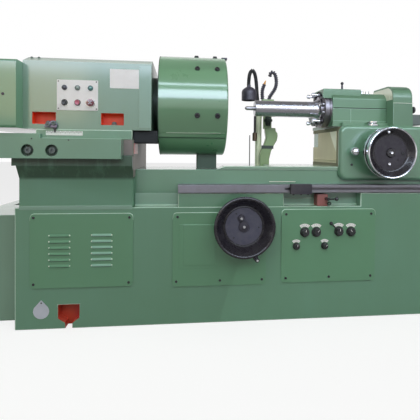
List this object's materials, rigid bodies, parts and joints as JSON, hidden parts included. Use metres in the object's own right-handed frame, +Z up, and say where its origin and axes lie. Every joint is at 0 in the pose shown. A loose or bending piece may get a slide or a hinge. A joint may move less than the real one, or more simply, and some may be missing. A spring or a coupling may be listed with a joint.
{
  "type": "internal grinding machine",
  "caption": "Internal grinding machine: hollow bed, swivelling work head with chuck in a drum guard, sliding table with cross slide, grinding quill, belt covers and handwheels.",
  "frame": {"origin": "centre of the bed's underside, on the floor", "axes": "+X along the machine from the work head to the wheel head, +Y to the rear, +Z up"},
  "size_m": [3.297, 1.0826, 1.5032],
  "materials": {
    "green_paint": "semi-gloss green machine enamel",
    "pink_paint": "dull red-brown primer",
    "dark_paint": "dark enamel",
    "grey_paint": "grey motor paint",
    "khaki_paint": "matt khaki paint",
    "white_plate": "white enamelled plate",
    "ground_steel": "ground and turned steel",
    "worn_iron": "worn, oiled iron",
    "bright_chrome": "polished chrome",
    "black_enamel": "glossy black enamel on cast iron",
    "black_plastic": "glossy black phenolic",
    "red_plastic": "glossy red plastic",
    "black_hose": "black segmented hose"
  },
  "bodies": {
    "bed": {"bed_casting": "green_paint", "front_way": "ground_steel", "rear_way": "ground_steel", "louvred_door": "green_paint", "centre_cover": "green_paint", "hydraulic_panel": "green_paint", "coolant_tank": "green_paint", "bridge_riser": "green_paint", "bridge_plate": "green_paint", "swivel_base": "green_paint", "table_cylinder": "ground_steel", "reversing_valve": "pink_paint", "coolant_stand": "green_paint", "coolant_hose_left": "black_hose", "coolant_hose_right": "black_hose", "work_lamp": "dark_paint"},
    "reversing_lever": {"reversing_lever": "black_plastic"},
    "knob_1": {"hydraulic_knob_1": "black_plastic"},
    "knob_2": {"hydraulic_knob_2": "black_plastic"},
    "knob_3": {"hydraulic_knob_3": "black_plastic"},
    "knob_4": {"hydraulic_knob_4": "black_plastic"},
    "knob_5": {"hydraulic_knob_5": "black_plastic"},
    "knob_6": {"hydraulic_knob_6": "black_plastic"},
    "table_wheel": {"table_handwheel": "black_enamel"},
    "table_wheel_grip": {"table_handwheel_grip": "black_plastic"},
    "table": {"table_beam": "green_paint", "table_top_plate": "green_paint", "piston_rod": "ground_steel", "dog_rail": "worn_iron", "cross_slide_base": "green_paint", "way_guard": "khaki_paint"},
    "left_dog": {"left_dog": "worn_iron"},
    "right_dog": {"right_dog": "worn_iron"},
    "cross_wheel": {"cross_handwheel": "black_enamel"},
    "pull_knob": {"pull_knob": "bright_chrome"},
    "wheelhead": {"wheelhead_casting": "green_paint", "wheelhead_cap": "green_paint", "spindle_cartridge": "ground_steel", "quill": "ground_steel", "grinding_motor": "grey_paint", "right_belt_cover": "green_paint"},
    "grinding_spindle": {"grinding_spindle": "ground_steel"},
    "grinding_rotor": {"grinding_motor_pulley": "worn_iron"},
    "work_head": {"headstock_casting": "green_paint", "work_motor": "grey_paint", "left_belt_cover": "green_paint", "control_plate": "white_plate", "swivel_pointer": "ground_steel", "guard_trough": "green_paint"},
    "hood": {"guard_hood": "green_paint"},
    "work_spindle": {"work_spindle": "ground_steel", "chuck_body": "ground_steel"},
    "jaw_1": {"chuck_jaw_1": "ground_steel"},
    "jaw_2": {"chuck_jaw_2": "ground_steel"},
    "jaw_3": {"chuck_jaw_3": "ground_steel"},
    "work_rotor": {"work_motor_pulley": "worn_iron"},
    "black_button": {"black_button": "black_plastic"},
    "red_button": {"red_button": "red_plastic"},
    "mushroom_button": {"mushroom_button": "red_plastic"}
  },
  "joints": [
    {"name": "table_slide", "type": "slide", "parent": "bed", "child": "table", "axis": [1, 0, 0], "range_m": [-0.23, 0.45]},
    {"name": "table_wheel_turn", "type": "hinge", "parent": "bed", "child": "table_wheel", "pos_m": [-0.325, -0.41, 0.534], "axis": [0, 1, 0], "range_deg": [-1700, 3300]},
    {"name": "table_grip_spin", "type": "hinge", "parent": "table_wheel", "child": "table_wheel_grip", "pos_m": [-0.26765, -0.525, 0.37644], "axis": [0, 1, 0], "continuous": true},
    {"name": "reversing_lever_swing", "type": "hinge", "parent": "bed", "child": "reversing_lever", "pos_m": [0.15, -0.41, 0.672], "axis": [0, 1, 0], "range_deg": [-15, 15]},
    {"name": "knob_1_turn", "type": "hinge", "parent": "bed", "child": "knob_1", "pos_m": [0.025, -0.41, 0.488], "axis": [0, 1, 0], "range_deg": [-135, 135]},
    {"name": "knob_2_turn", "type": "hinge", "parent": "bed", "child": "knob_2", "pos_m": [0.091, -0.41, 0.488], "axis": [0, 1, 0], "range_deg": [-135, 135]},
    {"name": "knob_3_turn", "type": "hinge", "parent": "bed", "child": "knob_3", "pos_m": [0.221, -0.41, 0.49], "axis": [0, 1, 0], "range_deg": [-30, 60]},
    {"name": "knob_4_turn", "type": "hinge", "parent": "bed", "child": "knob_4", "pos_m": [0.292, -0.41, 0.488], "axis": [0, 1, 0], "range_deg": [-135, 135]},
    {"name": "knob_5_turn", "type": "hinge", "parent": "bed", "child": "knob_5", "pos_m": [-0.022, -0.41, 0.411], "axis": [0, 1, 0], "range_deg": [-135, 135]},
    {"name": "knob_6_turn", "type": "hinge", "parent": "bed", "child": "knob_6", "pos_m": [0.14, -0.41, 0.411], "axis": [0, 1, 0], "range_deg": [-135, 135]},
    {"name": "left_dog_slide", "type": "slide", "parent": "table", "child": "left_dog", "axis": [1, 0, 0], "range_m": [0, 0.4]},
    {"name": "right_dog_slide", "type": "slide", "parent": "table", "child": "right_dog", "axis": [1, 0, 0], "range_m": [-0.25, 0.2]},
    {"name": "pull_knob_slide", "type": "slide", "parent": "table", "child": "pull_knob", "axis": [0, -1, 0], "range_m": [0, 0.015]},
    {"name": "cross_feed", "type": "slide", "parent": "table", "child": "wheelhead", "axis": [0, 1, 0], "range_m": [-0.06, 0.1]},
    {"name": "cross_wheel_turn", "type": "hinge", "parent": "table", "child": "cross_wheel", "pos_m": [0.498, -0.41, 0.932], "axis": [0, 1, 0], "range_deg": [-4400, 7300]},
    {"name": "grinding_spindle_spin", "type": "hinge", "parent": "wheelhead", "child": "grinding_spindle", "pos_m": [0, -0.111, 1.2], "axis": [1, 0, 0], "continuous": true},
    {"name": "grinding_rotor_spin", "type": "hinge", "parent": "wheelhead", "child": "grinding_rotor", "pos_m": [0.65, 0.23, 1.205], "axis": [1, 0, 0], "continuous": true},
    {"name": "head_swivel", "type": "hinge", "parent": "bed", "child": "work_head", "pos_m": [-1.15, -0.111, 1.037], "axis": [0, 0, 1], "range_deg": [0, 12]},
    {"name": "hood_swing", "type": "hinge", "parent": "work_head", "child": "hood", "pos_m": [-0.595, 0.13983, 1.032], "axis": [-1, 0, 0], "range_deg": [0, 60]},
    {"name": "work_spindle_spin", "type": "hinge", "parent": "work_head", "child": "work_spindle", "pos_m": [-0.9, -0.111, 1.2], "axis": [1, 0, 0], "continuous": true},
    {"name": "jaw_1_slide", "type": "slide", "parent": "work_spindle", "child": "jaw_1", "axis": [0, 0, 1], "range_m": [-0.04, 0.015]},
    {"name": "jaw_2_slide", "type": "slide", "parent": "work_spindle", "child": "jaw_2", "axis": [0, -0.866, -0.5], "range_m": [-0.04, 0.015]},
    {"name": "jaw_3_slide", "type": "slide", "parent": "work_spindle", "child": "jaw_3", "axis": [0, 0.866, -0.5], "range_m": [-0.04, 0.015]},
    {"name": "work_rotor_spin", "type": "hinge", "parent": "work_head", "child": "work_rotor", "pos_m": [-1.5, 0.36, 1.18], "axis": [1, 0, 0], "continuous": true},
    {"name": "black_button_press", "type": "slide", "parent": "work_head", "child": "black_button", "axis": [0, 1, 0], "range_m": [0, 0.006], "stiffness_N_per_m": 400},
    {"name": "red_button_press", "type": "slide", "parent": "work_head", "child": "red_button", "axis": [0, 1, 0], "range_m": [0, 0.006], "stiffness_N_per_m": 400},
    {"name": "mushroom_button_press", "type": "slide", "parent": "work_head", "child": "mushroom_button", "axis": [0, 1, 0], "range_m": [0, 0.006], "stiffness_N_per_m": 400}
  ],
  "couplings": [
    {"joint": "table_wheel_turn", "follows": "table_slide", "rad_per_m": 125.66},
    {"joint": "cross_wheel_turn", "follows": "cross_feed", "rad_per_m": 1256.6},
    {"joint": "grinding_rotor_spin", "follows": "grinding_spindle_spin", "ratio": 0.75},
    {"joint": "work_rotor_spin", "follows": "work_spindle_spin", "ratio": 2.7273},
    {"joint": "jaw_2_slide", "follows": "jaw_1_slide", "ratio": 1},
    {"joint": "jaw_3_slide", "follows": "jaw_1_slide", "ratio": 1}
  ]
}
